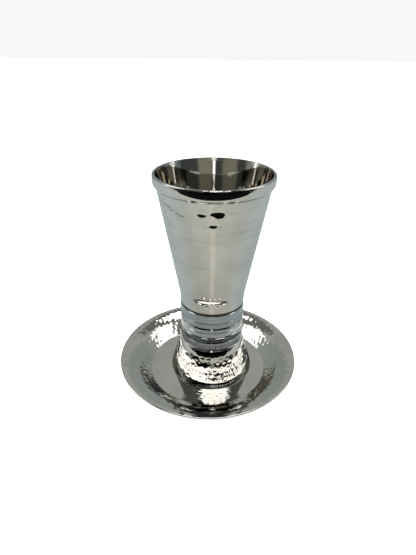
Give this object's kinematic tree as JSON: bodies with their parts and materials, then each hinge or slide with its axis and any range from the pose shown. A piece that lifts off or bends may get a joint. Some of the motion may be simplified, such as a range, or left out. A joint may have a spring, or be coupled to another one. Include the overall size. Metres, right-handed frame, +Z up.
{
  "type": "kiddush cup",
  "caption": "Polished metal kiddush cup with a tall flared bowl, a stack of turned rings and a hammered bell foot, standing in a round hammered saucer.",
  "frame": {"origin": "centre of the saucer's flat underside, on the surface the part stands on", "axes": "+Z up along the cup. +X to the right and +Y to the back as the cup is usually seen; the cup stands 2.5 mm right of and 2.8 mm behind the saucer's centre"},
  "size_m": [0.122, 0.122, 0.1396],
  "materials": {
    "polished_steel": "mirror-polished, hammered on the foot and the saucer's wall, softly rippled on the bowl",
    "satin_rings": "satin, with fine turning lines round the ring",
    "polished_ring": "polished, slightly darker than the satin rings"
  },
  "bodies": {
    "root": {"saucer": "polished_steel", "foot": "polished_steel", "bottom_ring": "satin_rings", "polished_ring": "polished_ring", "middle_ring": "satin_rings", "thin_ring": "satin_rings", "top_ring": "satin_rings", "bowl": "polished_steel"}
  },
  "joints": []
}
